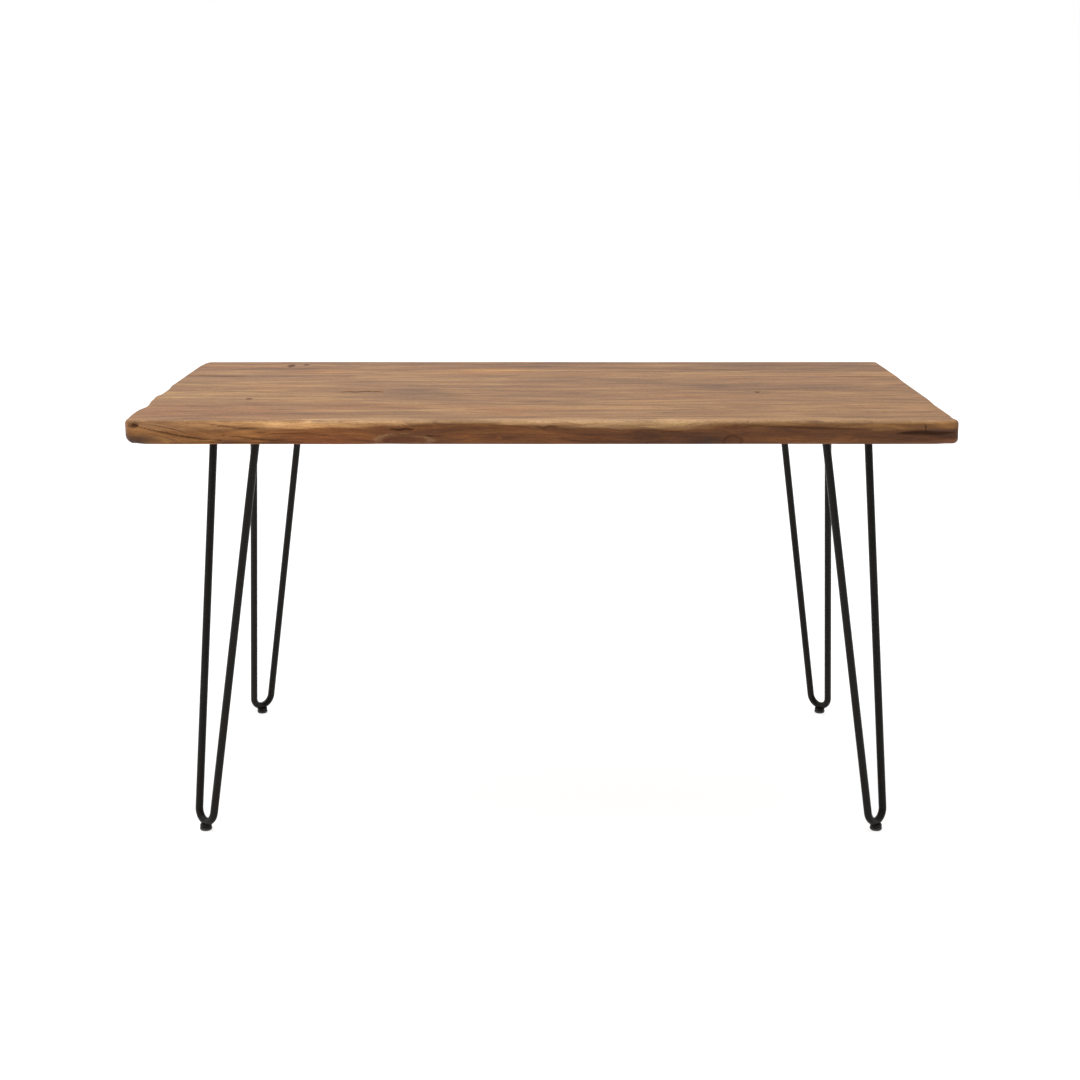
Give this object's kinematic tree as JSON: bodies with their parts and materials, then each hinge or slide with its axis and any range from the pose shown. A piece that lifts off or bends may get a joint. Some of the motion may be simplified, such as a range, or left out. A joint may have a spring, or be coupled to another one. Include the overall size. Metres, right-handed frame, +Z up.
{
  "type": "dining table",
  "caption": "Rectangular dining table with a solid brown wood top, hand-shaped edges and black steel hairpin legs on screw-in levelling feet.",
  "frame": {"origin": "centre of the table on the floor, under the middle of the top's outline", "axes": "+X along the length, to the right seen from the front; -Y to the front; +Z up"},
  "size_m": [1.419, 0.814, 0.755],
  "materials": {
    "wood": "oiled solid brown hardwood with open grain",
    "black_steel": "satin black powder coat",
    "zinc_steel": "bright zinc plate",
    "brass": "turned brass",
    "pad_plastic": "black moulded nylon"
  },
  "bodies": {
    "table": {"front_board": "wood", "inner_front_board": "wood", "middle_board": "wood", "inner_rear_board": "wood", "rear_board": "wood", "front_left_leg_rod": "black_steel", "front_left_top_plate": "black_steel", "front_left_weld_beads": "black_steel", "front_left_foot_cup": "black_steel", "front_left_plate_bolts": "zinc_steel", "front_left_washers": "zinc_steel", "front_left_thread_inserts": "brass", "front_right_leg_rod": "black_steel", "front_right_top_plate": "black_steel", "front_right_weld_beads": "black_steel", "front_right_foot_cup": "black_steel", "front_right_plate_bolts": "zinc_steel", "front_right_washers": "zinc_steel", "front_right_thread_inserts": "brass", "rear_left_leg_rod": "black_steel", "rear_left_top_plate": "black_steel", "rear_left_weld_beads": "black_steel", "rear_left_foot_cup": "black_steel", "rear_left_plate_bolts": "zinc_steel", "rear_left_washers": "zinc_steel", "rear_left_thread_inserts": "brass", "rear_right_leg_rod": "black_steel", "rear_right_top_plate": "black_steel", "rear_right_weld_beads": "black_steel", "rear_right_foot_cup": "black_steel", "rear_right_plate_bolts": "zinc_steel", "rear_right_washers": "zinc_steel", "rear_right_thread_inserts": "brass"},
    "front_left_pad": {"front_left_glide_pad": "pad_plastic"},
    "front_left_stud": {"front_left_glide_stud": "zinc_steel"},
    "front_right_pad": {"front_right_glide_pad": "pad_plastic"},
    "front_right_stud": {"front_right_glide_stud": "zinc_steel"},
    "rear_left_pad": {"rear_left_glide_pad": "pad_plastic"},
    "rear_left_stud": {"rear_left_glide_stud": "zinc_steel"},
    "rear_right_pad": {"rear_right_glide_pad": "pad_plastic"},
    "rear_right_stud": {"rear_right_glide_stud": "zinc_steel"}
  },
  "joints": [
    {"name": "front_left_foot_travel", "type": "slide", "parent": "table", "child": "front_left_pad", "axis": [0, 0, -1], "range_m": [0, 0.006]},
    {"name": "front_left_foot_turn", "type": "hinge", "parent": "front_left_pad", "child": "front_left_stud", "pos_m": [-0.604, -0.342, 0.01], "axis": [0, 0, -1], "range_deg": [0, 2160]},
    {"name": "front_right_foot_travel", "type": "slide", "parent": "table", "child": "front_right_pad", "axis": [0, 0, -1], "range_m": [0, 0.006]},
    {"name": "front_right_foot_turn", "type": "hinge", "parent": "front_right_pad", "child": "front_right_stud", "pos_m": [0.604, -0.342, 0.01], "axis": [0, 0, -1], "range_deg": [0, 2160]},
    {"name": "rear_left_foot_travel", "type": "slide", "parent": "table", "child": "rear_left_pad", "axis": [0, 0, -1], "range_m": [0, 0.006]},
    {"name": "rear_left_foot_turn", "type": "hinge", "parent": "rear_left_pad", "child": "rear_left_stud", "pos_m": [-0.604, 0.342, 0.01], "axis": [0, 0, -1], "range_deg": [0, 2160]},
    {"name": "rear_right_foot_travel", "type": "slide", "parent": "table", "child": "rear_right_pad", "axis": [0, 0, -1], "range_m": [0, 0.006]},
    {"name": "rear_right_foot_turn", "type": "hinge", "parent": "rear_right_pad", "child": "rear_right_stud", "pos_m": [0.604, 0.342, 0.01], "axis": [0, 0, -1], "range_deg": [0, 2160]}
  ],
  "couplings": [
    {"joint": "front_left_foot_turn", "follows": "front_left_foot_travel", "rad_per_m": 6283.2},
    {"joint": "front_right_foot_turn", "follows": "front_right_foot_travel", "rad_per_m": 6283.2},
    {"joint": "rear_left_foot_turn", "follows": "rear_left_foot_travel", "rad_per_m": 6283.2},
    {"joint": "rear_right_foot_turn", "follows": "rear_right_foot_travel", "rad_per_m": 6283.2}
  ]
}
